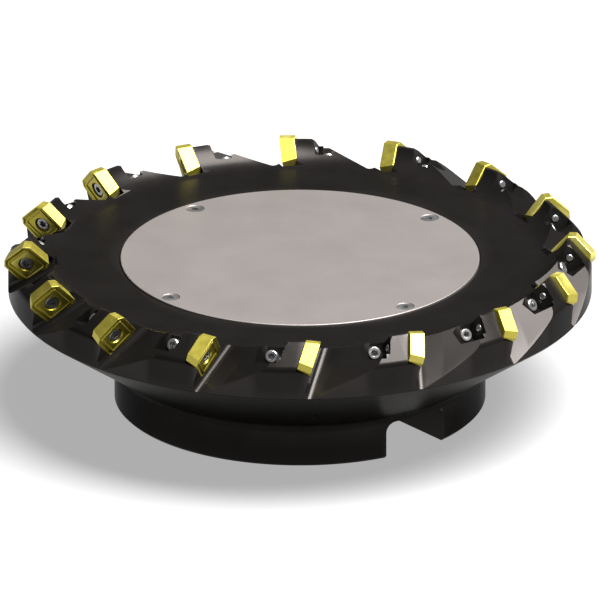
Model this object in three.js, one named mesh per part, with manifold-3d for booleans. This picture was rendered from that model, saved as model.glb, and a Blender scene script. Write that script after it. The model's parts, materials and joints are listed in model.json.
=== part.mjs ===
// A 200 mm face mill: a bored and keyed cutter body with sixteen square inserts held at 45 degrees,
// their clamping screws, a locking screw behind each tooth, and a screwed cover plate over the bore.
// Millimetres. The origin is the centre of the back face, +Z points towards the cutting face,
// and the two drive keyways lie along X.
import * as THREE from "three";
import { ConvexGeometry } from "three/addons/geometries/ConvexGeometry.js";
import { mergeVertices } from "three/addons/utils/BufferGeometryUtils.js";
import Module from "manifold-3d";

const wasm = await Module();
wasm.setup();

// Clearance left between touching pieces.
const GAP = 0.3;
const BODY_SEGMENTS = 48;
const PLATE_SEGMENTS = 48;
const HOLE_SEGMENTS = 8;
const SINK_SEGMENTS = 16;
const BOLT_HOLE_SEGMENTS = 24;
const SCREW_SEGMENTS = 8;

// Teeth.
const TEETH = 16;
const FIRST_TOOTH_DEG = 8.9;

// Turned body: hub, conical back, rim and the flat ring round the cover plate.
const HUB_RADIUS = 68.7;
const HUB_CHAMFER = 1;
const HUB_NECK_Z = 16;
const NECK_FILLET = 5;
const RIM_RADIUS = 108.1;
const RIM_BOTTOM_Z = 42.8;
const FACE_Z = 55.2;

// Turned hollow that sweeps up from the flat ring, and the 45 degree land and round outside it.
const SWEEP_START_RADIUS = 86;
const SWEEP_ARC = 15;
const LAND_TOP_RADIUS = 98.8;
const LAND_RIM_Z = 54.3;
const LAND_ROUND = 4;

// Bore, keyways and mounting-bolt holes.
const BORE_RADIUS = 30;
const BORE_CHAMFER = 1.5;
const KEYWAY_WIDTH = 27;
const KEYWAY_DEPTH = 14;
const KEYWAY_CORNER = 4;
const BOLTS = 4;
const BOLT_CIRCLE_RADIUS = 50.8;
const BOLT_HOLE_RADIUS = 9;
const BOLT_RECESS_RADIUS = 13.5;
const BOLT_RECESS_FLOOR_Z = 31;
const BOLT_FIRST_DEG = 45;

// Cover plate and its four screws.
const PLATE_RADIUS = 66.5;
const PLATE_THICKNESS = 3.8;
const PLATE_TOP_Z = 55.7;
const PLATE_EDGE = 0.4;
const PLATE_SCREWS = 4;
const PLATE_SCREW_CIRCLE = 61.7;
const PLATE_SCREW_HEAD = 3.2;
const PLATE_SCREW_SHANK = 1.7;
const PLATE_SCREW_LENGTH = 12;
const PLATE_SCREW_SOCKET = 1.15;
const PLATE_SCREW_SUNK = 0.15;
const HEAD_EDGE = 0.3;
const SCREW_END_CHAMFER = 0.5;

// Inserts: a square with clipped corners, standing on one corner.
const INSERT_RADIUS = 101.4;
const INSERT_Z = 54.6;
const INSERT_HALF_SIDE = 6.9;
const INSERT_CLIP = 1.37;
const INSERT_THICKNESS = 5.5;
const INSERT_RELIEF_DEG = 8;
const AXIAL_RAKE_DEG = 15.9;
const RADIAL_RAKE_DEG = -10.3;
const WIPER_TURN_DEG = 1.8;
const CHIP_FLOOR_HALF_SIDE = 4.7;
const CHIP_RIM_HALF_SIDE = 5.6;
const CHIP_DEPTH = 0.5;
const INSERT_HOLE_RADIUS = 2.2;
const INSERT_SINK_RADIUS = 3.1;
const INSERT_SINK_DEPTH = 2.6;

// Insert screws, as long as the tooth behind the insert is thick.
const TOOTH_THICKNESS = 12.2;
const SCREW_HEAD_RADIUS = 2.6;
const SCREW_HEAD_SINK = 0.9;
const SCREW_HEAD_DEPTH = 1.5;
const SCREW_SHANK_RADIUS = 1.6;
const SCREW_SOCKET = 1.2;
const SCREW_SOCKET_DEPTH = 1;
const SCREW_END_PROUD = 0.2;
const SHARP_CORNER = 0.01;

// How far the tooth stands back from the insert's inner flank, and is cut away past its inner corner.
const FLANK_EXPOSED = 0.5;
const CORNER_RELIEF = 0.6;

// Chip gullet floor: a plane through one point of the rim, given in the tooth's own directions.
const GULLET_POINT = new THREE.Vector3(106.7, 17.9, 51.45);
const GULLET_NORMAL = new THREE.Vector3(0.465, -0.335, 0.82);

// Spot face and recess behind each tooth, and the locking screw in it, placed in the tooth's directions.
const SPOT_RADIUS = 5;
const SPOT_LENGTH = 6;
const LOCK_RADIUS = 98.5;
const LOCK_BEHIND_DEG = 9.2;
const LOCK_Z = 55.9;
const LOCK_AXIS_TURN_DEG = -4.3;
const LOCK_AXIS_RISE_DEG = 26;
const LOCK_HEAD_RADIUS = 2.4;
const LOCK_LENGTH = 7;
const LOCK_PROUD = 0.5;
const LOCK_SOCKET = 1.2;
const LOCK_SOCKET_DEPTH = 1.8;
const LOCK_FLOOR_BEHIND = 5.4;
const LOCK_FLOOR_AHEAD = 4;
const LOCK_FLOOR_BELOW = 3;
const LOCK_FLOOR_ABOVE = 9;
const LOCK_END_CHAMFER = 0.8;

// Reach of the boxes that cut whole sides away.
const BIG = 40;
const rad = THREE.MathUtils.degToRad;

// A closed three.js geometry as a manifold-3d solid, moved by an optional matrix.
function solid(geometry, matrix) {
  const open = geometry.index ? geometry.toNonIndexed() : geometry.clone();
  open.deleteAttribute("normal");
  open.deleteAttribute("uv");
  if (matrix) open.applyMatrix4(matrix);
  const merged = mergeVertices(open, 1e-4);
  const made = new wasm.Mesh({
    numProp: 3,
    vertProperties: merged.attributes.position.array,
    triVerts: new Uint32Array(merged.index.array),
  });
  return new wasm.Manifold(made);
}

// A manifold-3d solid as a three.js geometry.
function geometryOf(made) {
  const mesh = made.getMesh();
  const geometry = new THREE.BufferGeometry();
  geometry.setAttribute("position", new THREE.BufferAttribute(new Float32Array(mesh.vertProperties), 3));
  geometry.setIndex(new THREE.BufferAttribute(new Uint32Array(mesh.triVerts), 1));
  return geometry;
}

// A turned solid about Z from [radius, z] points listed anticlockwise, with +Z up.
function turned(points, segments, turnDeg = 0) {
  const profile = points.map(([r, z]) => new THREE.Vector2(r, z));
  const geometry = new THREE.LatheGeometry(profile, segments);
  geometry.rotateX(Math.PI / 2);
  geometry.rotateZ(rad(turnDeg));
  return solid(geometry);
}

// Points of an arc in the [radius, z] plane.
function arc(centreR, centreZ, radius, fromDeg, toDeg, steps) {
  const points = [];
  for (let i = 0; i <= steps; i++) {
    const a = rad(fromDeg + ((toDeg - fromDeg) * i) / steps);
    points.push([centreR + radius * Math.cos(a), centreZ + radius * Math.sin(a)]);
  }
  return points;
}

function box(low, high, matrix) {
  const size = high.map((v, i) => v - low[i]);
  const geometry = new THREE.BoxGeometry(...size);
  geometry.translate(...low.map((v, i) => v + size[i] / 2));
  return solid(geometry, matrix);
}

function aboutZ(deg) {
  return new THREE.Matrix4().makeRotationZ(rad(deg));
}

function toothDeg(i) {
  return FIRST_TOOTH_DEG + (360 / TEETH) * i;
}

// The insert's own frame: x to its outer corner, y out of its rake face, z to its upper corner.
function insertFrame() {
  const angles = new THREE.Euler(rad(-AXIAL_RAKE_DEG), rad(-WIPER_TURN_DEG), rad(RADIAL_RAKE_DEG), "ZXY");
  const frame = new THREE.Matrix4().makeRotationFromEuler(angles);
  return frame.setPosition(INSERT_RADIUS, 0, INSERT_Z);
}

// The locking screw's frame in the tooth's directions: z out along the screw, x down the floor.
function lockFrame() {
  const place = new THREE.Vector3(LOCK_RADIUS, 0, LOCK_Z).applyMatrix4(aboutZ(-LOCK_BEHIND_DEG));
  const axisTurn = aboutZ(-LOCK_BEHIND_DEG + LOCK_AXIS_TURN_DEG);
  const tilt = new THREE.Matrix4().makeRotationY(rad(90 - LOCK_AXIS_RISE_DEG));
  return axisTurn.multiply(tilt).setPosition(place);
}

// The body's turned profile: back, neck, rim, then outer for the part above the rim, sweep and bore.
function bodyProfile(outer) {
  const backSlope = Math.atan2(RIM_BOTTOM_Z - HUB_NECK_Z, RIM_RADIUS - HUB_RADIUS);
  const neckAngle = THREE.MathUtils.radToDeg(backSlope);
  const reach = NECK_FILLET * Math.tan((Math.PI / 2 - backSlope) / 2);
  const neck = arc(HUB_RADIUS + NECK_FILLET, HUB_NECK_Z - reach, NECK_FILLET, 180, 90 + neckAngle, 2);
  const points = [
    [BORE_RADIUS + BORE_CHAMFER, 0],
    [HUB_RADIUS - HUB_CHAMFER, 0],
    [HUB_RADIUS, HUB_CHAMFER],
    ...neck,
    [RIM_RADIUS, RIM_BOTTOM_Z],
    ...outer,
    ...sweep(outer[outer.length - 1][0]).reverse(),
    [PLATE_RADIUS + GAP, FACE_Z],
    [PLATE_RADIUS + GAP, PLATE_TOP_Z - PLATE_THICKNESS - GAP],
    [BORE_RADIUS + BORE_CHAMFER, PLATE_TOP_Z - PLATE_THICKNESS - GAP],
    [BORE_RADIUS, PLATE_TOP_Z - PLATE_THICKNESS - GAP - BORE_CHAMFER],
    [BORE_RADIUS, BORE_CHAMFER],
    [BORE_RADIUS + BORE_CHAMFER, 0],
  ];
  return points;
}

// The hollow arc from the flat ring up to the given radius, without its last point.
function sweep(toRadius) {
  const full = THREE.MathUtils.radToDeg(Math.asin((toRadius - SWEEP_START_RADIUS) / SWEEP_ARC));
  return arc(SWEEP_START_RADIUS, FACE_Z + SWEEP_ARC, SWEEP_ARC, -90, -90 + full, 3).slice(0, -1);
}

function sweepHeight(radius) {
  return FACE_Z + SWEEP_ARC - Math.sqrt(SWEEP_ARC ** 2 - (radius - SWEEP_START_RADIUS) ** 2);
}

// The whole body: a turned ring with the land all round, and everything that is cut out of it.
function cutterBody() {
  const landTop = sweepHeight(LAND_TOP_RADIUS);
  const roundLow = LAND_RIM_Z - LAND_ROUND * Math.tan(rad(22.5));
  const land = [
    ...arc(RIM_RADIUS - LAND_ROUND, roundLow, LAND_ROUND, 0, 45, 1),
    [RIM_RADIUS + LAND_RIM_Z - landTop, landTop],
    [LAND_TOP_RADIUS, landTop],
  ];
  let body = turned(bodyProfile(land), BODY_SEGMENTS);
  for (let i = 0; i < TEETH; i++) body = body.subtract(toothCuts(aboutZ(toothDeg(i))));
  return body.subtract(keyways()).subtract(boltHoles()).subtract(plateScrewHoles());
}

// What is cut away at one tooth: gullet, insert pocket, flank relief, screw holes and the recess behind.
function toothCuts(turn) {
  const seat = turn.clone().multiply(insertFrame());
  const lock = turn.clone().multiply(lockFrame());
  const front = box([-BIG, 0, -BIG], [BIG, BIG, BIG], seat);
  const gullet = front.intersect(abovePlane(turn, GULLET_POINT, GULLET_NORMAL));
  const side = INSERT_HALF_SIDE + GAP;
  const quarter = seat.clone().multiply(new THREE.Matrix4().makeRotationY(rad(45)));
  const pocket = box([-side, -INSERT_THICKNESS - GAP, -side], [side, 1, side], quarter);
  const screwHole = rod(SCREW_SHANK_RADIUS + GAP, -BIG / 2, 0, seat, HOLE_SEGMENTS);
  const spot = rod(SPOT_RADIUS, -TOOTH_THICKNESS - SPOT_LENGTH, -TOOTH_THICKNESS, seat, HOLE_SEGMENTS);
  const floor = box(
    [-LOCK_FLOOR_ABOVE, -LOCK_FLOOR_BEHIND, -LOCK_PROUD],
    [LOCK_FLOOR_BELOW, LOCK_FLOOR_AHEAD, BIG / 4],
    lock,
  );
  const behind = box([-BIG, -BIG, -BIG], [BIG, -TOOTH_THICKNESS, BIG], seat);
  const lockHole = rod(LOCK_HEAD_RADIUS + GAP, -LOCK_LENGTH - GAP, BIG / 4, lock, HOLE_SEGMENTS, false);
  const relief = box(
    [-BIG / 2, -TOOTH_THICKNESS, -INSERT_HALF_SIDE - CORNER_RELIEF],
    [FLANK_EXPOSED - INSERT_HALF_SIDE, 1, BIG / 2],
    quarter,
  );
  return gullet.add(pocket).add(relief).add(screwHole).add(spot).add(floor.intersect(behind)).add(lockHole);
}

// A box on the outer side of a plane given in the tooth's directions.
function abovePlane(turn, point, normal) {
  const facing = new THREE.Quaternion();
  facing.setFromUnitVectors(new THREE.Vector3(0, 0, 1), normal.clone().normalize());
  const frame = new THREE.Matrix4().makeRotationFromQuaternion(facing).setPosition(point);
  return box([-BIG, -BIG, 0], [BIG, BIG, BIG], turn.clone().multiply(frame));
}

// A round bar along y of a frame, or along z when alongY is false.
function rod(radius, from, to, frame, segments, alongY = true) {
  const geometry = new THREE.CylinderGeometry(radius, radius, to - from, segments);
  geometry.translate(0, (from + to) / 2, 0);
  if (!alongY) geometry.rotateX(Math.PI / 2);
  return solid(geometry, frame);
}

// One slot across the whole back of the hub makes both keyways.
function keyways() {
  const half = KEYWAY_WIDTH / 2;
  const inner = half - KEYWAY_CORNER;
  const shape = new THREE.Shape();
  shape.moveTo(-half, -1);
  shape.lineTo(half, -1);
  shape.lineTo(half, KEYWAY_DEPTH - KEYWAY_CORNER);
  shape.absarc(inner, KEYWAY_DEPTH - KEYWAY_CORNER, KEYWAY_CORNER, 0, Math.PI / 2, false);
  shape.absarc(-inner, KEYWAY_DEPTH - KEYWAY_CORNER, KEYWAY_CORNER, Math.PI / 2, Math.PI, false);
  shape.lineTo(-half, -1);
  const length = 2 * (HUB_RADIUS + NECK_FILLET);
  const options = { depth: length, bevelEnabled: false, curveSegments: 5 };
  const geometry = new THREE.ExtrudeGeometry(shape, options);
  geometry.translate(0, 0, -length / 2);
  geometry.rotateX(Math.PI / 2);
  geometry.rotateZ(Math.PI / 2);
  return solid(geometry);
}

function boltHoles() {
  let holes = null;
  for (let i = 0; i < BOLTS; i++) {
    const profile = [
      [0, -1],
      [BOLT_HOLE_RADIUS, -1],
      [BOLT_HOLE_RADIUS, BOLT_RECESS_FLOOR_Z],
      [BOLT_RECESS_RADIUS, BOLT_RECESS_FLOOR_Z],
      [BOLT_RECESS_RADIUS, FACE_Z],
      [0, FACE_Z],
    ];
    const angle = rad(BOLT_FIRST_DEG + (360 / BOLTS) * i);
    const hole = turned(profile, BOLT_HOLE_SEGMENTS).translate([
      BOLT_CIRCLE_RADIUS * Math.cos(angle),
      BOLT_CIRCLE_RADIUS * Math.sin(angle),
      0,
    ]);
    holes = holes ? holes.add(hole) : hole;
  }
  return holes;
}

function plateScrewPlace(i) {
  const angle = rad((360 / PLATE_SCREWS) * i);
  return [PLATE_SCREW_CIRCLE * Math.cos(angle), PLATE_SCREW_CIRCLE * Math.sin(angle), PLATE_TOP_Z];
}

function plateScrewHoles() {
  let holes = null;
  for (let i = 0; i < PLATE_SCREWS; i++) {
    const radius = PLATE_SCREW_SHANK + GAP;
    const profile = [
      [0, -PLATE_SCREW_LENGTH - 2],
      [radius, -PLATE_SCREW_LENGTH - 1],
      [radius, 0],
      [0, 0],
    ];
    const hole = turned(profile, SCREW_SEGMENTS).translate(plateScrewPlace(i));
    holes = holes ? holes.add(hole) : hole;
  }
  return holes;
}

function coverPlate() {
  const low = PLATE_TOP_Z - PLATE_THICKNESS;
  let plate = turned(
    [
      [0, low],
      [PLATE_RADIUS, low],
      [PLATE_RADIUS, PLATE_TOP_Z - PLATE_EDGE],
      [PLATE_RADIUS - PLATE_EDGE, PLATE_TOP_Z],
      [0, PLATE_TOP_Z],
    ],
    PLATE_SEGMENTS,
  );
  const depth = PLATE_SCREW_HEAD - PLATE_SCREW_SHANK;
  for (let i = 0; i < PLATE_SCREWS; i++) {
    const sink = turned(
      [
        [0, -PLATE_THICKNESS - 1],
        [PLATE_SCREW_SHANK + GAP, -PLATE_THICKNESS - 1],
        [PLATE_SCREW_SHANK + GAP, -depth - GAP],
        [PLATE_SCREW_HEAD + GAP, -GAP],
        [PLATE_SCREW_HEAD + GAP, 1],
        [0, 1],
      ],
      SINK_SEGMENTS,
    );
    plate = plate.subtract(sink.translate(plateScrewPlace(i)));
  }
  return geometryOf(plate);
}

// A hexagon bar for a screw socket, its axis along z and its top above z = 0.
function hexSocket(halfFlats, depth, top) {
  const corner = halfFlats / Math.cos(Math.PI / 6);
  const geometry = new THREE.CylinderGeometry(corner, corner, depth + top, 6);
  geometry.translate(0, (top - depth) / 2, 0);
  geometry.rotateX(Math.PI / 2);
  return solid(geometry);
}

// The cover screw, its head's top at z = 0.
function coverScrew() {
  const depth = PLATE_SCREW_HEAD - PLATE_SCREW_SHANK;
  const top = -PLATE_SCREW_SUNK;
  const screw = turned(
    [
      [0, -PLATE_SCREW_LENGTH],
      [PLATE_SCREW_SHANK - SCREW_END_CHAMFER, -PLATE_SCREW_LENGTH],
      [PLATE_SCREW_SHANK, -PLATE_SCREW_LENGTH + SCREW_END_CHAMFER],
      [PLATE_SCREW_SHANK, top - depth],
      [PLATE_SCREW_HEAD, top - HEAD_EDGE],
      [PLATE_SCREW_HEAD, top],
      [0, top],
    ],
    SCREW_SEGMENTS,
  );
  return geometryOf(screw.subtract(hexSocket(PLATE_SCREW_SOCKET, depth, 1)));
}

// Corner points of a clipped square standing on a corner, at the given height y.
function clippedSquare(halfSide, clip, y) {
  const corner = halfSide * Math.SQRT2 - clip;
  const points = [];
  for (const [x, z] of [[1, 0], [0, 1], [-1, 0], [0, -1]]) {
    points.push(new THREE.Vector3(x * corner - z * clip, y, z * corner + x * clip));
    points.push(new THREE.Vector3(x * corner + z * clip, y, z * corner - x * clip));
  }
  return points;
}

// The insert in its own frame: rake face at y = 0, the body behind it.
function insert() {
  const back = INSERT_HALF_SIDE - INSERT_THICKNESS * Math.tan(rad(INSERT_RELIEF_DEG));
  const blankPoints = [
    ...clippedSquare(INSERT_HALF_SIDE, INSERT_CLIP, 0),
    ...clippedSquare(back, INSERT_CLIP, -INSERT_THICKNESS),
  ];
  const recessPoints = [
    ...clippedSquare(CHIP_RIM_HALF_SIDE, SHARP_CORNER, 0.2),
    ...clippedSquare(CHIP_FLOOR_HALF_SIDE, SHARP_CORNER, -CHIP_DEPTH),
  ];
  const hole = new THREE.LatheGeometry(
    [
      [0, -INSERT_THICKNESS - 1],
      [INSERT_HOLE_RADIUS, -INSERT_THICKNESS - 1],
      [INSERT_HOLE_RADIUS, -INSERT_SINK_DEPTH],
      [INSERT_SINK_RADIUS, -CHIP_DEPTH],
      [INSERT_SINK_RADIUS, 1],
      [0, 1],
    ].map(([r, y]) => new THREE.Vector2(r, y)),
    HOLE_SEGMENTS,
  );
  const blank = solid(new ConvexGeometry(blankPoints));
  const recess = solid(new ConvexGeometry(recessPoints));
  return geometryOf(blank.subtract(recess).subtract(solid(hole)));
}

// The insert screw in the insert's frame, its axis along y and its head at the rake face.
function insertScrew() {
  const end = -TOOTH_THICKNESS - SCREW_END_PROUD;
  const neck = -SCREW_HEAD_SINK - SCREW_HEAD_DEPTH;
  const screw = turned(
    [
      [0, end],
      [SCREW_SHANK_RADIUS - SCREW_END_CHAMFER, end],
      [SCREW_SHANK_RADIUS, end + SCREW_END_CHAMFER],
      [SCREW_SHANK_RADIUS, neck],
      [SCREW_HEAD_RADIUS, -SCREW_HEAD_SINK - HEAD_EDGE],
      [SCREW_HEAD_RADIUS - HEAD_EDGE, -SCREW_HEAD_SINK],
      [0, -SCREW_HEAD_SINK],
    ],
    SCREW_SEGMENTS,
  );
  const socket = hexSocket(SCREW_SOCKET, SCREW_SOCKET_DEPTH + SCREW_HEAD_SINK, 1);
  return geometryOf(screw.subtract(socket)).rotateX(-Math.PI / 2);
}

// The locking screw, its axis z and its face at z = 0.
function lockScrew() {
  const screw = turned(
    [
      [0, -LOCK_LENGTH],
      [LOCK_HEAD_RADIUS - LOCK_END_CHAMFER, -LOCK_LENGTH],
      [LOCK_HEAD_RADIUS, -LOCK_LENGTH + LOCK_END_CHAMFER],
      [LOCK_HEAD_RADIUS, -HEAD_EDGE],
      [LOCK_HEAD_RADIUS - HEAD_EDGE, 0],
      [0, 0],
    ],
    SCREW_SEGMENTS,
  );
  return geometryOf(screw.subtract(hexSocket(LOCK_SOCKET, LOCK_SOCKET_DEPTH, 1)));
}

// Materials: [colour, roughness, metalness].
const FINISHES = {
  body: [0x24211f, 0.45, 0.6],
  plate: [0xaea7a3, 0.35, 0.9],
  screw: [0xb9b9b9, 0.3, 1],
  insert: [0xd8c437, 0.3, 0.8],
};

function named(name, geometry, finish) {
  const [color, roughness, metalness] = FINISHES[finish];
  const mesh = new THREE.Mesh(geometry, new THREE.MeshStandardMaterial({ color, roughness, metalness }));
  mesh.name = name;
  return mesh;
}

const group = new THREE.Group();
group.add(named("cutter_body", geometryOf(cutterBody()), "body"));
group.add(named("cover_plate", coverPlate(), "plate"));
for (let i = 0; i < PLATE_SCREWS; i++) {
  const screw = named("cover_screw_" + (i + 1), coverScrew(), "screw");
  screw.position.set(...plateScrewPlace(i));
  group.add(screw);
}
for (let i = 0; i < TEETH; i++) {
  const number = String(i + 1).padStart(2, "0");
  const tooth = new THREE.Group();
  tooth.rotation.z = rad(toothDeg(i));
  const seat = new THREE.Group();
  seat.applyMatrix4(insertFrame());
  seat.add(named("insert_" + number, insert(), "insert"));
  seat.add(named("insert_screw_" + number, insertScrew(), "screw"));
  const lock = named("locking_screw_" + number, lockScrew(), "screw");
  lock.applyMatrix4(lockFrame());
  tooth.add(seat);
  tooth.add(lock);
  group.add(tooth);
}

export default group;
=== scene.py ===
"""Looks of a 200 mm face mill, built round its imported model: a finely meshed body with filleted
gullets, coated inserts with chip breakers, socket screws, a ground cover plate, floor, light, camera."""
import json
import math

import bmesh
import bpy
from mathutils import Matrix, Vector


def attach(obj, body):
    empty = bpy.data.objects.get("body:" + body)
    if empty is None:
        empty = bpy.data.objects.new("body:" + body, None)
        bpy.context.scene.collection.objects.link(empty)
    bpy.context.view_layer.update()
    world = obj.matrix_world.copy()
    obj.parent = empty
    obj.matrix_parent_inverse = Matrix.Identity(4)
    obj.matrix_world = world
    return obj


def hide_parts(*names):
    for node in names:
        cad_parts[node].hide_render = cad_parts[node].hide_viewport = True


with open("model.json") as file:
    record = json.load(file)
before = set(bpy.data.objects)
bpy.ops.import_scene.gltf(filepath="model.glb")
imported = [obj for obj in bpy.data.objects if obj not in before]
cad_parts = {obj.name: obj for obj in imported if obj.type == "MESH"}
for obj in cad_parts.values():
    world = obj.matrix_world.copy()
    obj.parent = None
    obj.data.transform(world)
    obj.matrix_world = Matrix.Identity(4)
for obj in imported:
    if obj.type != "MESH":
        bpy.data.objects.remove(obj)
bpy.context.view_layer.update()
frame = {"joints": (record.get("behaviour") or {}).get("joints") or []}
scene = bpy.context.scene

# Sizes are in millimetres, and every mesh is scaled to metres at the end.
MM = 0.001
TEETH = 16
TURN_STEPS = 384
SCREW_STEPS = 48
GAP = 0.08

# The turned body, as in the model.
HUB_RADIUS = 68.7
HUB_CHAMFER = 1.0
NECK_Z = 16.0
NECK_FILLET = 5.0
RIM_RADIUS = 108.1
RIM_BOTTOM_Z = 42.8
FACE_Z = 55.2
SWEEP_START = 86.0
SWEEP_ARC = 15.0
LAND_TOP_RADIUS = 98.8
LAND_RIM_Z = 54.3
LAND_ROUND = 4.0
BORE_RADIUS = 30.0
KEYWAY_WIDTH = 27.0
KEYWAY_DEPTH = 14.0
KEYWAY_CORNER = 4.0
BORE_CHAMFER = 1.5
BOLT_CIRCLE = 50.8
BOLT_HOLE = 9.0
BOLT_RECESS = 13.5
BOLT_FLOOR_Z = 31.0
BOLTS = 4

# Cover plate.
PLATE_RADIUS = 66.5
PLATE_THICKNESS = 3.8
PLATE_TOP_Z = 55.7
PLATE_EDGE_ROUND = 0.35
PLATE_SCREWS = 4
PLATE_SCREW_LENGTH = 11.5
PLATE_SCREW_SHANK = 1.7
PLATE_SCREW_HOLE = 2.0
SINK_RADIUS = 3.45
SINK_DEPTH = 1.7

# Inserts and their screws, in the insert's own frame.
INSERT_PLACE = Vector((101.4, 0.0, 54.6))
INSERT_HALF_SIDE = 6.9
INSERT_CLIP = 1.37
INSERT_THICKNESS = 5.5
RELIEF_DEG = 8.0
AXIAL_RAKE_DEG = 15.9
RADIAL_RAKE_DEG = -10.3
WIPER_TURN_DEG = 1.8
TOOTH_THICKNESS = 12.2
SPOT_RADIUS = 5.0
SPOT_LENGTH = 6.0
SCREW_HEAD = 2.6
SCREW_SHANK = 1.45
SCREW_HOLE = 1.75

# Gullet floor plane and its fillet to the tooth.
GULLET_POINT = Vector((106.7, 17.9, 51.45))
GULLET_NORMAL = Vector((0.465, -0.335, 0.82)).normalized()
GULLET_FILLET = 2.4
GULLET_REACH = 60
GULLET_RISE = 45
GULLET_HALF_RUN = 34

# The tooth stands back from the insert's upper inner flank, and is cut away round its inner corner.
FLANK_EXPOSED = 0.5
CORNER_RELIEF = 0.6

# Locking screw behind each tooth: z out along the screw, x down the floor of its recess.
LOCK_HEAD = 2.4
LOCK_HEAD_DEPTH = 2.9
LOCK_LENGTH = 7.0
LOCK_SHANK = 1.9
LOCK_PROUD = 0.5
LOCK_CLEARANCE = 0.12
LOCK_FLOOR_LOW = (-9, -5.4, -LOCK_PROUD)
LOCK_FLOOR_HIGH = (2.8, 3.2, 9)

# Shading stays smooth across edges below these angles.
SMOOTH_BODY_DEG = 18
SMOOTH_DEG = 30


def deg(angle):
    return math.radians(angle)


# ---------------------------------------------------------------- mesh helpers

def object_of(name, bm):
    mesh = bpy.data.meshes.new(name)
    bm.normal_update()
    bm.to_mesh(mesh)
    bm.free()
    piece = bpy.data.objects.new(name, mesh)
    scene.collection.objects.link(piece)
    return piece


def arc(centre_r, centre_z, radius, start, end, steps):
    """Points of an arc in the (radius, z) plane, angles in degrees."""
    points = []
    for i in range(steps + 1):
        a = deg(start + (end - start) * i / steps)
        points.append((centre_r + radius * math.cos(a), centre_z + radius * math.sin(a)))
    return points


def turned(bm, profile, steps, matrix=None):
    """Adds a turned solid to bm: a closed profile off the axis, or an open one that ends on it."""
    matrix = matrix or Matrix.Identity(4)
    closed = profile[0][0] > 1e-6
    rows = []
    for r, z in profile:
        if r < 1e-6:
            rows.append([bm.verts.new(matrix @ Vector((0, 0, z)))])
            continue
        ring = []
        for k in range(steps):
            a = 2 * math.pi * k / steps
            ring.append(bm.verts.new(matrix @ Vector((r * math.cos(a), r * math.sin(a), z))))
        rows.append(ring)
    pairs = list(zip(rows, rows[1:]))
    if closed:
        pairs.append((rows[-1], rows[0]))
    for low, high in pairs:
        for k in range(steps):
            n = (k + 1) % steps
            corners = [low[k % len(low)], low[n % len(low)], high[n % len(high)], high[k % len(high)]]
            unique = list(dict.fromkeys(corners))
            if len(unique) > 2:
                bm.faces.new(unique)


def prism(bm, outline, direction, matrix=None):
    """Adds a straight prism to bm: the outline's points, and the same points moved by direction."""
    matrix = matrix or Matrix.Identity(4)
    low = [bm.verts.new(matrix @ Vector(p)) for p in outline]
    high = [bm.verts.new(matrix @ (Vector(p) + Vector(direction))) for p in outline]
    count = len(outline)
    bm.faces.new(list(reversed(low)))
    bm.faces.new(high)
    for k in range(count):
        n = (k + 1) % count
        bm.faces.new([low[k], low[n], high[n], high[k]])


def block(bm, low, high, matrix):
    x0, y0, z0 = low
    x1, y1, z1 = high
    outline = [(x0, y0, z0), (x1, y0, z0), (x1, y1, z0), (x0, y1, z0)]
    prism(bm, outline, (0, 0, z1 - z0), matrix)


def cut(piece, cutter):
    """Cuts one object out of another and removes it."""
    for thing in (piece, cutter):
        bm = bmesh.new()
        bm.from_mesh(thing.data)
        bmesh.ops.recalc_face_normals(bm, faces=bm.faces)
        bm.to_mesh(thing.data)
        bm.free()
    modifier = piece.modifiers.new("cut", "BOOLEAN")
    modifier.object = cutter
    modifier.operation = "DIFFERENCE"
    modifier.solver = "MANIFOLD"
    apply_modifiers(piece)
    bpy.data.objects.remove(cutter)


def apply_modifiers(piece):
    graph = bpy.context.evaluated_depsgraph_get()
    graph.update()
    mesh = bpy.data.meshes.new_from_object(piece.evaluated_get(graph))
    piece.modifiers.clear()
    old = piece.data
    piece.data = mesh
    bpy.data.meshes.remove(old)


def tidy(piece, weld=0.004):
    """Merges the slivers that cutting leaves, for clean shading and rounding."""
    bm = bmesh.new()
    bm.from_mesh(piece.data)
    bmesh.ops.remove_doubles(bm, verts=bm.verts, dist=weld)
    bmesh.ops.dissolve_limit(bm, angle_limit=deg(0.4), verts=bm.verts, edges=bm.edges)
    bmesh.ops.dissolve_degenerate(bm, dist=weld, edges=bm.edges)
    bm.to_mesh(piece.data)
    bm.free()


def round_edges(piece, width, angle):
    modifier = piece.modifiers.new("round", "BEVEL")
    modifier.width = width
    modifier.segments = 2
    modifier.limit_method = "ANGLE"
    modifier.angle_limit = deg(angle)
    modifier.use_clamp_overlap = True
    modifier.harden_normals = False
    apply_modifiers(piece)


def finish_piece(piece, material, angle=SMOOTH_DEG):
    """Scales a piece to metres, shades it smooth up to an angle and gives it its material."""
    piece.data.transform(Matrix.Scale(MM, 4))
    piece.data.shade_smooth()
    piece.data.set_sharp_from_angle(angle=deg(angle))
    modifier = piece.modifiers.new("normals", "WEIGHTED_NORMAL")
    modifier.weight = 100
    modifier.keep_sharp = True
    apply_modifiers(piece)
    piece.data.materials.clear()
    piece.data.materials.append(material)


# ---------------------------------------------------------------- places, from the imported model

def joint(name):
    return next(j for j in frame["joints"] if j["name"] == name)


def joint_frame(name):
    """The place and direction of a screw's joint, in millimetres."""
    found = joint(name)
    return Vector(found["pos_m"]) / MM, Vector(found["axis"])


def tooth_number(i):
    return f"{i + 1:02d}"


def tooth_angle(i):
    place, _ = joint_frame(f"insert_screw_{tooth_number(i)}_turn")
    return math.atan2(place.y, place.x)


def tooth_frame(i):
    return Matrix.Rotation(tooth_angle(i), 4, "Z")


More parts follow.
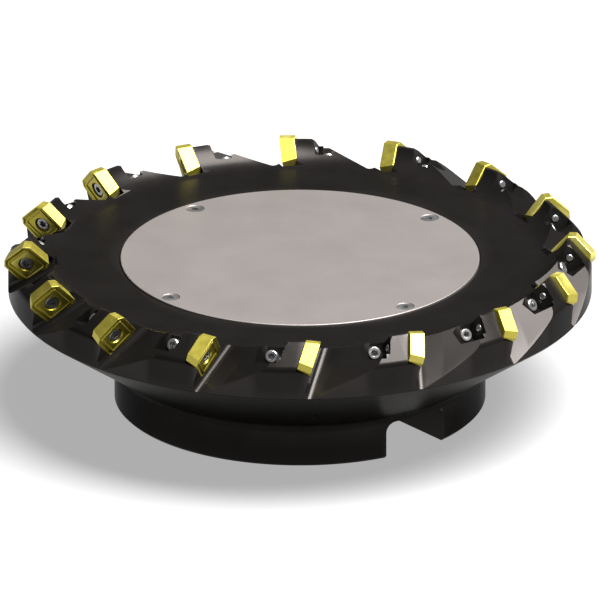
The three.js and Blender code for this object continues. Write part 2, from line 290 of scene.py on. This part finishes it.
def seat_frame():
    """The insert's frame in the tooth's: x to the outer corner, y out of the rake face, z up."""
    turn = Matrix.Rotation(deg(RADIAL_RAKE_DEG), 4, "Z")
    turn = turn @ Matrix.Rotation(deg(-AXIAL_RAKE_DEG), 4, "X")
    turn = turn @ Matrix.Rotation(deg(-WIPER_TURN_DEG), 4, "Y")
    return Matrix.Translation(INSERT_PLACE) @ turn


def axis_frame(place, axis):
    """A frame at place with z along axis and x as near as can be to down."""
    z = axis.normalized()
    y = z.cross(Vector((0, 0, -1))).normalized()
    x = y.cross(z)
    basis = Matrix((x, y, z)).transposed().to_4x4()
    return Matrix.Translation(place) @ basis


def lock_frame(i):
    return axis_frame(*joint_frame(f"locking_screw_{tooth_number(i)}_turn"))


UPRIGHT = Matrix.Rotation(deg(-90), 4, "X")


# ---------------------------------------------------------------- cutter body

def sweep_height(radius):
    return FACE_Z + SWEEP_ARC - math.sqrt(SWEEP_ARC ** 2 - (radius - SWEEP_START) ** 2)


def sweep(radius):
    """Points down the curve from a radius to the level face, without the first."""
    full = math.degrees(math.asin((radius - SWEEP_START) / SWEEP_ARC))
    return arc(SWEEP_START, FACE_Z + SWEEP_ARC, SWEEP_ARC, -90 + full, -90, 14)[1:]


def body_profile(outer):
    slope = math.atan2(RIM_BOTTOM_Z - NECK_Z, RIM_RADIUS - HUB_RADIUS)
    reach = NECK_FILLET * math.tan((math.pi / 2 - slope) / 2)
    neck = arc(HUB_RADIUS + NECK_FILLET, NECK_Z - reach, NECK_FILLET, 180, 90 + math.degrees(slope), 10)
    recess_z = PLATE_TOP_Z - PLATE_THICKNESS - GAP
    wall = PLATE_RADIUS + 0.25
    bore_edge = BORE_RADIUS + BORE_CHAMFER
    profile = [(bore_edge, 0), (HUB_RADIUS - HUB_CHAMFER, 0), (HUB_RADIUS, HUB_CHAMFER)]
    profile += neck + [(RIM_RADIUS - 0.5, RIM_BOTTOM_Z - 0.34), (RIM_RADIUS, RIM_BOTTOM_Z + 0.3)]
    profile += outer + sweep(outer[-1][0])
    profile += [(wall + 0.3, FACE_Z), (wall, FACE_Z - 0.3), (wall, recess_z)]
    profile += [(bore_edge, recess_z), (BORE_RADIUS, recess_z - BORE_CHAMFER), (BORE_RADIUS, BORE_CHAMFER)]
    return profile


def tooth_cutters(name, add):
    """One object holding what add(bm, i) adds for every tooth."""
    bm = bmesh.new()
    for i in range(TEETH):
        add(bm, i)
    return object_of(name, bm)


def gullet_outline():
    """Cross-section of the gullet cutter, in the tooth's directions, and the way it runs."""
    wall_normal = seat_frame().to_3x3() @ Vector((0, 1, 0))
    floor_normal = GULLET_NORMAL
    run = floor_normal.cross(wall_normal).normalized()
    up_wall = wall_normal.cross(run).normalized()
    if up_wall.dot(floor_normal) < 0:
        up_wall.negate()
    along_floor = floor_normal.cross(run).normalized()
    if along_floor.dot(wall_normal) < 0:
        along_floor.negate()
    # the root: on the wall, on the floor, and level with the gullet's point along the run
    offset_wall = (INSERT_PLACE - GULLET_POINT).dot(wall_normal)
    reach = offset_wall / along_floor.dot(wall_normal)
    root = GULLET_POINT + along_floor * reach
    centre = root + up_wall * (GULLET_FILLET / up_wall.dot(floor_normal))
    centre += along_floor * (GULLET_FILLET / along_floor.dot(wall_normal))
    start = -floor_normal
    outline = [root + along_floor * GULLET_REACH]
    steps = 16
    for k in range(steps + 1):
        direction = start.slerp(-wall_normal, k / steps)
        outline.append(centre + direction * GULLET_FILLET)
    outline.append(root + up_wall * GULLET_RISE)
    outline.append(root + up_wall * GULLET_RISE + along_floor * GULLET_REACH)
    return [p - run * GULLET_HALF_RUN for p in outline], run * (2 * GULLET_HALF_RUN)


def cutter_body(material):
    land_top = sweep_height(LAND_TOP_RADIUS)
    round_low = LAND_RIM_Z - LAND_ROUND * math.tan(deg(22.5))
    land = arc(RIM_RADIUS - LAND_ROUND, round_low, LAND_ROUND, 0, 45, 10)
    land += [(RIM_RADIUS + LAND_RIM_Z - land_top, land_top), (LAND_TOP_RADIUS, land_top)]
    bm = bmesh.new()
    turned(bm, body_profile(land), TURN_STEPS)
    body = object_of("cutter_body_fine", bm)
    seat = seat_frame()

    # neighbouring gullet cutters overlap, so each pass cuts every other gullet
    outline, run = gullet_outline()
    for start in (0, 1):
        bm = bmesh.new()
        for i in range(start, TEETH, 2):
            prism(bm, outline, run, tooth_frame(i))
        cut(body, object_of("gullets", bm))

    side = INSERT_HALF_SIDE + GAP
    quarter = Matrix.Rotation(deg(45), 4, "Y")

    def pockets(bm, i):
        place = tooth_frame(i) @ seat @ quarter
        block(bm, (-side, -INSERT_THICKNESS - GAP, -side), (side, 0.7, side), place)

    def flank_reliefs(bm, i):
        place = tooth_frame(i) @ seat @ quarter
        level = FLANK_EXPOSED - INSERT_HALF_SIDE
        end = -INSERT_HALF_SIDE - CORNER_RELIEF
        block(bm, (-30, -TOOTH_THICKNESS, end), (level, 0.7, 30), place)

    def spots(bm, i):
        place = tooth_frame(i) @ seat @ UPRIGHT
        far = -TOOTH_THICKNESS
        turned(bm, [(0, far - SPOT_LENGTH), (SPOT_RADIUS, far - SPOT_LENGTH), (SPOT_RADIUS, far), (0, far)],
               40, place)

    def screw_holes(bm, i):
        place = tooth_frame(i) @ seat @ UPRIGHT
        turned(bm, [(0, -15), (SCREW_HOLE, -15), (SCREW_HOLE, -3), (0, -3)], 24, place)

    def lock_floors(bm, i):
        block(bm, LOCK_FLOOR_LOW, LOCK_FLOOR_HIGH, lock_frame(i))

    def lock_holes(bm, i):
        wide = LOCK_HEAD + LOCK_CLEARANCE
        thin = LOCK_SHANK + LOCK_CLEARANCE
        profile = [(0, -LOCK_LENGTH), (thin, -LOCK_LENGTH), (thin, -3), (wide, -3), (wide, 6), (0, 6)]
        turned(bm, profile, 40, lock_frame(i))

    for add in (pockets, flank_reliefs, spots, screw_holes, lock_floors, lock_holes):
        cut(body, tooth_cutters(add.__name__, add))
    cut(body, keyway_cutter())
    cut(body, bolt_cutter())
    tidy(body)
    finish_piece(body, material, SMOOTH_BODY_DEG)
    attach(body, "cutter")
    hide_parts("cutter_body")


def keyway_cutter():
    half = KEYWAY_WIDTH / 2
    side = [(-half, -2), (half, -2)]
    side += arc(half - KEYWAY_CORNER, KEYWAY_DEPTH - KEYWAY_CORNER, KEYWAY_CORNER, 0, 90, 8)
    side += arc(KEYWAY_CORNER - half, KEYWAY_DEPTH - KEYWAY_CORNER, KEYWAY_CORNER, 90, 180, 8)
    bm = bmesh.new()
    prism(bm, [(-80, y, z) for y, z in side], (160, 0, 0))
    return object_of("keyways", bm)


def bolt_cutter():
    bm = bmesh.new()
    for k in range(BOLTS):
        a = deg(45 + 360 * k / BOLTS)
        place = Matrix.Translation((BOLT_CIRCLE * math.cos(a), BOLT_CIRCLE * math.sin(a), 0))
        profile = [(0, -2), (BOLT_HOLE, -2), (BOLT_HOLE, BOLT_FLOOR_Z), (BOLT_RECESS, BOLT_FLOOR_Z),
                   (BOLT_RECESS, FACE_Z), (0, FACE_Z)]
        turned(bm, profile, 64, place)
    return object_of("bolts", bm)


# ---------------------------------------------------------------- cover plate and its screws

def cover_plate(material):
    low = PLATE_TOP_Z - PLATE_THICKNESS
    bm = bmesh.new()
    edge = arc(PLATE_RADIUS - PLATE_EDGE_ROUND, PLATE_TOP_Z - PLATE_EDGE_ROUND, PLATE_EDGE_ROUND, 0, 90, 4)
    rings = [(r, PLATE_TOP_Z) for r in (50, 35, 20, 8)]
    turned(bm, [(0, low), (PLATE_RADIUS, low)] + edge + rings + [(0, PLATE_TOP_Z)], TURN_STEPS)
    plate = object_of("cover_plate_fine", bm)
    bm = bmesh.new()
    hole = [(0, -6), (PLATE_SCREW_HOLE, -6), (PLATE_SCREW_HOLE, -SINK_DEPTH), (SINK_RADIUS, -0.25)]
    hole += [(SINK_RADIUS + 0.25, 0.3), (0, 0.3)]
    for k in range(PLATE_SCREWS):
        place, _ = joint_frame(f"cover_screw_{k + 1}_turn")
        turned(bm, hole, SCREW_STEPS, Matrix.Translation(place))
    cut(plate, object_of("sinks", bm))
    tidy(plate)
    finish_piece(plate, material)
    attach(plate, "cover")
    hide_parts("cover_plate")


def socket_cutter(radius, depth, lobes=False):
    """A hexagon bar, or a six-lobed one, its top well above z = 0."""
    outline = []
    steps = 48 if lobes else 6
    for k in range(steps):
        a = 2 * math.pi * k / steps
        r = radius * (0.86 + 0.14 * math.cos(6 * a)) if lobes else radius / math.cos(math.pi / 6)
        outline.append((r * math.cos(a), r * math.sin(a), -depth))
    bm = bmesh.new()
    prism(bm, outline, (0, 0, depth + 2))
    return object_of("socket", bm)


def screw_mesh(name, profile, socket):
    bm = bmesh.new()
    turned(bm, profile, SCREW_STEPS)
    piece = object_of(name, bm)
    cut(piece, socket)
    tidy(piece, 0.001)
    round_edges(piece, 0.06, 35)
    mesh = piece.data
    bpy.data.objects.remove(piece)
    return mesh


def place_copy(mesh, matrix, material, body, node):
    """Places one copy of a mesh that stands in for a node and rides on a body."""
    piece = bpy.data.objects.new(node + "_fine", mesh.copy())
    scene.collection.objects.link(piece)
    piece.data.transform(matrix)
    finish_piece(piece, material)
    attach(piece, body)
    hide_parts(node)


def cover_screws(material):
    head = SINK_RADIUS - 0.35
    end = -PLATE_SCREW_LENGTH
    profile = [(0, end), (PLATE_SCREW_SHANK - 0.3, end), (PLATE_SCREW_SHANK, end + 0.5)]
    profile += [(PLATE_SCREW_SHANK, -SINK_DEPTH), (head, -0.42), (head, -0.22), (0, -0.16)]
    mesh = screw_mesh("cover_screw", profile, socket_cutter(1.15, 1.4))
    for k in range(PLATE_SCREWS):
        name = f"cover_screw_{k + 1}"
        place, _ = joint_frame(name + "_turn")
        turned_place = Matrix.Translation(place) @ Matrix.Rotation(deg(17 + 40 * k), 4, "Z")
        place_copy(mesh, turned_place, material, name, name)


# ---------------------------------------------------------------- inserts and their screws

def clipped_square(half_side, clip, y):
    corner = half_side * math.sqrt(2) - clip
    points = []
    for x, z in ((1, 0), (0, 1), (-1, 0), (0, -1)):
        for s in (-1, 1):
            points.append(Vector((x * corner - s * z * clip, y, z * corner + s * x * clip)))
    return points


def insert_mesh():
    back = INSERT_HALF_SIDE - INSERT_THICKNESS * math.tan(deg(RELIEF_DEG))
    rings = [
        (back - 0.2, INSERT_CLIP, -INSERT_THICKNESS),
        (back, INSERT_CLIP, -INSERT_THICKNESS + 0.2),
        (INSERT_HALF_SIDE - 0.02, INSERT_CLIP, -0.12),
        (INSERT_HALF_SIDE - 0.05, INSERT_CLIP, -0.03),
        (INSERT_HALF_SIDE - 0.15, INSERT_CLIP, 0.0),
        (INSERT_HALF_SIDE - 0.45, INSERT_CLIP, -0.02),
        (5.7, 0.9, -0.4),
        (5.35, 0.75, -0.45),
        (5.15, 0.5, -0.4),
        (4.95, 0.3, -0.06),
        (4.8, 0.25, -0.02),
        (4.65, 0.25, -0.06),
        (4.35, 0.3, -0.42),
    ]
    bm = bmesh.new()
    rows = [[bm.verts.new(p) for p in clipped_square(*ring)] for ring in rings]
    for low, high in zip(rows, rows[1:]):
        for k in range(8):
            n = (k + 1) % 8
            bm.faces.new([low[k], low[n], high[n], high[k]])
    bm.faces.new(list(reversed(rows[0])))
    bm.faces.new(rows[-1])
    piece = object_of("insert", bm)
    bm = bmesh.new()
    hole = [(0, -7), (2.2, -7), (2.2, -2.6), (2.9, -0.95), (3.15, -0.38), (3.3, 0.3), (0, 0.3)]
    turned(bm, hole, 56, UPRIGHT)
    cut(piece, object_of("hole", bm))
    tidy(piece, 0.001)
    round_edges(piece, 0.1, 20)
    mesh = piece.data
    bpy.data.objects.remove(piece)
    return mesh


def inserts_and_screws(gold, steel):
    mesh = insert_mesh()
    end = -TOOTH_THICKNESS - 0.25
    profile = [(0, end), (SCREW_SHANK - 0.35, end), (SCREW_SHANK, end + 0.35), (SCREW_SHANK, -3.2)]
    profile += [(SCREW_HEAD, -1.3), (SCREW_HEAD, -1.05), (SCREW_HEAD - 0.25, -0.85), (0, -0.8)]
    screw = screw_mesh("insert_screw", profile, socket_cutter(1.5, 2.0, lobes=True))
    for i in range(TEETH):
        number = tooth_number(i)
        place = tooth_frame(i) @ seat_frame()
        name = "insert_" + number
        place_copy(mesh, place, gold, "cutter", name)
        name = "insert_screw_" + number
        turn = Matrix.Rotation(deg(23 * i), 4, "Z")
        place_copy(screw, place @ UPRIGHT @ turn, steel, name, name)


def lock_screws(material):
    shank = [(0, -LOCK_LENGTH), (LOCK_SHANK - 0.5, -LOCK_LENGTH), (LOCK_SHANK, -LOCK_LENGTH + 0.5)]
    head = [(LOCK_HEAD, -LOCK_HEAD_DEPTH), (LOCK_HEAD, -0.35), (LOCK_HEAD - 0.3, 0), (0, 0)]
    profile = shank + [(LOCK_SHANK, -LOCK_HEAD_DEPTH)] + head
    mesh = screw_mesh("locking_screw", profile, socket_cutter(1.2, 1.9))
    for i in range(TEETH):
        name = "locking_screw_" + tooth_number(i)
        turn = Matrix.Rotation(deg(31 * i), 4, "Z")
        place_copy(mesh, lock_frame(i) @ turn, material, name, name)


# ---------------------------------------------------------------- materials

def new_material(name):
    material = bpy.data.materials.new(name)
    material.use_nodes = True
    return material, material.node_tree, material.node_tree.nodes["Principled BSDF"]


def noise(tree, scale, detail, rough=0.6):
    """Noise in object space, with the scale in cycles per metre."""
    coords = tree.nodes.new("ShaderNodeTexCoord")
    texture = tree.nodes.new("ShaderNodeTexNoise")
    texture.inputs["Scale"].default_value = scale
    texture.inputs["Detail"].default_value = detail
    texture.inputs["Roughness"].default_value = rough
    tree.links.new(coords.outputs["Object"], texture.inputs["Vector"])
    return texture.outputs["Fac"]


def ramp(tree, source, stops):
    node = tree.nodes.new("ShaderNodeValToRGB")
    for element, (position, colour) in zip(node.color_ramp.elements, stops):
        element.position = position
        element.color = (*colour, 1.0)
    tree.links.new(source, node.inputs["Fac"])
    return node.outputs["Color"]


def span(tree, source, low, high, from_low=0.3, from_high=0.7):
    """Stretches the source's range to run from low to high."""
    node = tree.nodes.new("ShaderNodeMapRange")
    node.inputs["From Min"].default_value = from_low
    node.inputs["From Max"].default_value = from_high
    node.inputs["To Min"].default_value = low
    node.inputs["To Max"].default_value = high
    tree.links.new(source, node.inputs["Value"])
    return node.outputs["Result"]


def mix(tree, factor, a, b):
    node = tree.nodes.new("ShaderNodeMix")
    node.data_type = "RGBA"
    for value, socket in ((factor, node.inputs[0]), (a, node.inputs[6]), (b, node.inputs[7])):
        if isinstance(value, tuple):
            socket.default_value = (*value, 1.0)
        else:
            tree.links.new(value, socket)
    return node.outputs[2]


def bump(tree, shader, source, distance, strength):
    node = tree.nodes.new("ShaderNodeBump")
    node.inputs["Strength"].default_value = strength
    node.inputs["Distance"].default_value = distance
    tree.links.new(source, node.inputs["Height"])
    tree.links.new(node.outputs["Normal"], shader.inputs["Normal"])


def black_oxide():
    material, tree, shader = new_material("black_oxide_steel")
    cloud = noise(tree, 60, 5)
    grain = noise(tree, 2600, 3)
    tone = ramp(tree, cloud, [(0.35, (0.014, 0.0126, 0.0119)), (0.7, (0.0175, 0.0158, 0.0148))])
    # Painted highlight: convex edges are lightened towards (0.12, 0.11, 0.105) by pointiness, standing in
    # for light caught by rounded edges.
    edges = tree.nodes.new("ShaderNodeNewGeometry").outputs["Pointiness"]
    edge_highlight = span(tree, edges, 0.0, 0.35, 0.53, 0.62)
    tree.links.new(mix(tree, edge_highlight, tone, (0.12, 0.11, 0.105)), shader.inputs["Base Color"])
    tree.links.new(span(tree, cloud, 0.27, 0.31), shader.inputs["Roughness"])
    shader.inputs["Metallic"].default_value = 0.7
    shader.inputs["Specular IOR Level"].default_value = 0.17
    shader.inputs["Specular Tint"].default_value = (0.3, 0.29, 0.28, 1.0)
    bump(tree, shader, grain, 0.000008, 0.4)
    return material


def ground_steel():
    material, tree, shader = new_material("ground_cover_steel")
    cloud = noise(tree, 35, 4)
    grain = noise(tree, 1400, 4, 0.7)
    tone = ramp(tree, grain, [(0.3, (0.214, 0.194, 0.184)), (0.7, (0.234, 0.213, 0.202))])
    tree.links.new(tone, shader.inputs["Base Color"])
    tree.links.new(span(tree, cloud, 0.52, 0.56), shader.inputs["Roughness"])
    shader.inputs["Metallic"].default_value = 0.85
    bump(tree, shader, grain, 0.00001, 0.4)
    return material


def bright_steel(name, low, high, rough):
    material, tree, shader = new_material(name)
    cloud = noise(tree, 500, 4)
    tone = ramp(tree, cloud, [(0.3, low), (0.7, high)])
    tree.links.new(tone, shader.inputs["Base Color"])
    tree.links.new(span(tree, cloud, rough - 0.05, rough + 0.07), shader.inputs["Roughness"])
    shader.inputs["Metallic"].default_value = 0.9
    bump(tree, shader, noise(tree, 3500, 3), 0.000006, 0.4)
    return material


def gold_coating():
    material, tree, shader = new_material("gold_coated_carbide")
    cloud = noise(tree, 300, 4)
    tone = ramp(tree, cloud, [(0.3, (0.33, 0.28, 0.03)), (0.7, (0.39, 0.333, 0.042))])
    # Painted highlight: convex edges and the chip-breaker ridge are lightened towards bright gold by
    # pointiness, standing in for light reflected along them.
    edges = tree.nodes.new("ShaderNodeNewGeometry").outputs["Pointiness"]
    edge_highlight = span(tree, edges, 0.0, 0.7, 0.52, 0.6)
    tree.links.new(mix(tree, edge_highlight, tone, (0.95, 0.86, 0.25)), shader.inputs["Base Color"])
    tree.links.new(span(tree, cloud, 0.42, 0.49), shader.inputs["Roughness"])
    shader.inputs["Metallic"].default_value = 0.95
    bump(tree, shader, noise(tree, 4000, 3), 0.000006, 0.5)
    return material


def floor_material():
    material, tree, shader = new_material("pale_floor")
    tone = ramp(tree, noise(tree, 3, 2), [(0.3, (0.185, 0.185, 0.185)), (0.7, (0.197, 0.197, 0.197))])
    tree.links.new(tone, shader.inputs["Base Color"])
    shader.inputs["Roughness"].default_value = 0.9
    shader.inputs["Specular IOR Level"].default_value = 0.0
    shader.inputs["Emission Color"].default_value = (1.0, 1.0, 1.0, 1.0)
    shader.inputs["Emission Strength"].default_value = 0.42
    return material


# ---------------------------------------------------------------- floor, light, camera

# Metres, degrees and watts. The key stands a fixed angle round from the camera.
KEY_FROM_CAMERA = 75
KEY_ELEVATION = 69
KEY_DISTANCE = 2.0
KEY_SIZE = 1.7
KEY_POWER = 225
WORLD_STRENGTH = 0.06
CAMERA_AZIMUTH = 50.9
CAMERA_ELEVATION = 22.16
VIEW_WIDTH = 0.2222
AIM_Z = 0.0386


def towards(azimuth, elevation):
    """Unit vector to a place seen at an azimuth and elevation; azimuth 0 is the -Y side."""
    a, e = deg(azimuth), deg(elevation)
    return Vector((math.sin(a) * math.cos(e), -math.cos(a) * math.cos(e), math.sin(e)))


def key_light():
    data = bpy.data.lights.new("key", "AREA")
    data.shape = "DISK"
    data.size = KEY_SIZE
    data.energy = KEY_POWER
    lamp = bpy.data.objects.new("key", data)
    aim = Vector((0, 0, 0.04))
    lamp.location = aim + towards(CAMERA_AZIMUTH + KEY_FROM_CAMERA, KEY_ELEVATION) * KEY_DISTANCE
    lamp.rotation_euler = (lamp.location - aim).to_track_quat("Z", "Y").to_euler()
    scene.collection.objects.link(lamp)


def studio():
    bm = bmesh.new()
    bmesh.ops.create_grid(bm, x_segments=2, y_segments=2, size=4.0)
    floor = object_of("floor", bm)
    floor.location.z = -0.0002
    floor.data.materials.append(floor_material())
    world = bpy.data.worlds.new("studio")
    world.use_nodes = True
    background = world.node_tree.nodes["Background"]
    background.inputs["Color"].default_value = (1.0, 1.0, 1.0, 1.0)
    background.inputs["Strength"].default_value = WORLD_STRENGTH
    scene.world = world
    key_light()


def camera():
    data = bpy.data.cameras.new("camera")
    data.type = "ORTHO"
    data.ortho_scale = VIEW_WIDTH
    data.clip_end = 20
    view = bpy.data.objects.new("camera", data)
    aim = Vector((0, 0, AIM_Z))
    away = towards(CAMERA_AZIMUTH, CAMERA_ELEVATION)
    view.location = aim + away * 1.5
    view.rotation_euler = away.to_track_quat("Z", "Y").to_euler()
    scene.collection.objects.link(view)
    scene.camera = view


camera()
studio()
steel = bright_steel("satin_screw_steel", (0.24, 0.24, 0.24), (0.32, 0.32, 0.32), 0.32)
bright = bright_steel("bright_screw_steel", (0.4, 0.4, 0.4), (0.5, 0.5, 0.49), 0.3)
cutter_body(black_oxide())
cover_plate(ground_steel())
cover_screws(steel)
inserts_and_screws(gold_coating(), steel)
lock_screws(bright)
scene.view_settings.view_transform = "Standard"
